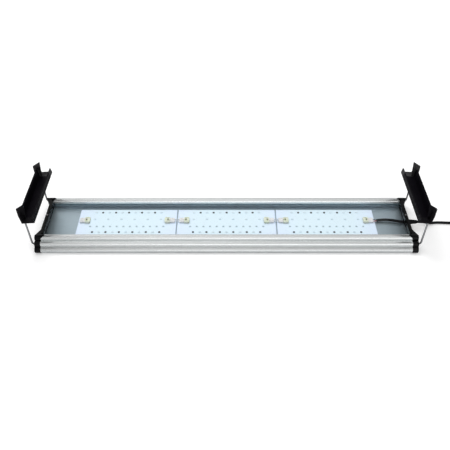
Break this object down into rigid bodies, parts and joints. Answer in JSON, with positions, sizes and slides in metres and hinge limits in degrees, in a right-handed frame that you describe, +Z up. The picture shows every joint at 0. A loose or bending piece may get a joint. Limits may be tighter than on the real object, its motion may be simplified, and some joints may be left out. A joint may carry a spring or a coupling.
{
  "type": "led aquarium light",
  "caption": "Long flat aquarium lamp with an aluminium housing, a clear cover over white lamp boards, and wire brackets that slide out to feet for the tank rim.",
  "frame": {"origin": "on the surface that the light lies on, under the middle of its length and width", "axes": "+X along the light towards the end with the lead, +Z up and out of the lamp side, -Y towards the camera of the picture"},
  "size_m": [0.8891, 0.1406, 0.1099],
  "materials": {
    "anodised_aluminium": "satin anodised, drawn along its length",
    "clear_acrylic": "clear polished sheet",
    "black_end_cap": "black moulding with a low sheen",
    "white_circuit_board": "white solder mask on an aluminium core",
    "cream_connector": "unpainted nylon",
    "red_core": "insulated core",
    "black_core": "insulated core",
    "zinc_screw": "zinc plated",
    "steel_wire": "drawn stainless wire",
    "black_foot": "black moulding with a low sheen",
    "black_moulding": "soft black moulding",
    "nickel_plate": "nickel plated",
    "black_tie": "plain black band",
    "black_cable": "black PVC sheath"
  },
  "bodies": {
    "root": {"blanking_plug": "black_moulding", "board_1": "white_circuit_board", "board_1_left_plug": "cream_connector", "board_1_left_socket": "cream_connector", "board_1_right_plug": "cream_connector", "board_1_right_socket": "cream_connector", "board_2": "white_circuit_board", "board_2_left_plug": "cream_connector", "board_2_left_socket": "cream_connector", "board_2_right_plug": "cream_connector", "board_2_right_socket": "cream_connector", "board_3": "white_circuit_board", "board_3_left_plug": "cream_connector", "board_3_left_socket": "cream_connector", "board_3_right_plug": "cream_connector", "board_3_right_socket": "cream_connector", "cord_coil": "black_cable", "cord_gland": "black_moulding", "cord_run": "black_cable", "cord_tail": "black_cable", "cord_tie": "black_tie", "cover": "clear_acrylic", "dc_plug_barrel": "nickel_plate", "dc_plug_body": "black_moulding", "housing": "anodised_aluminium", "inner_lead": "black_cable", "inner_lead_far_core": "black_core", "inner_lead_near_core": "red_core", "jumper_1_far_core": "cream_connector", "jumper_1_near_core": "cream_connector", "jumper_2_far_core": "cream_connector", "jumper_2_near_core": "cream_connector", "left_cap_screw_1": "zinc_screw", "left_cap_screw_2": "zinc_screw", "left_cap_screw_3": "zinc_screw", "left_cap_screw_4": "zinc_screw", "left_cover_screw": "zinc_screw", "left_end_cap": "black_end_cap", "right_cap_screw_1": "zinc_screw", "right_cap_screw_2": "zinc_screw", "right_cap_screw_3": "zinc_screw", "right_cap_screw_4": "zinc_screw", "right_cover_screw": "zinc_screw", "right_end_cap": "black_end_cap"},
    "left_bracket": {"left_bracket_wire": "steel_wire"},
    "right_bracket": {"right_bracket_wire": "steel_wire"},
    "left_foot": {"left_foot": "black_foot"},
    "right_foot": {"right_foot": "black_foot"}
  },
  "joints": [
    {"name": "left_bracket_slide", "type": "slide", "parent": "root", "child": "left_bracket", "axis": [-1, 0, 0], "range_m": [0, 0.075]},
    {"name": "right_bracket_slide", "type": "slide", "parent": "root", "child": "right_bracket", "axis": [1, 0, 0], "range_m": [0, 0.075]},
    {"name": "left_foot_hinge", "type": "hinge", "parent": "left_bracket", "child": "left_foot", "pos_m": [-0.3505, 0, 0.0724], "axis": [0, -1, 0], "range_deg": [-80, 80]},
    {"name": "right_foot_hinge", "type": "hinge", "parent": "right_bracket", "child": "right_foot", "pos_m": [0.3505, 0, 0.0724], "axis": [0, 1, 0], "range_deg": [-80, 80]}
  ]
}
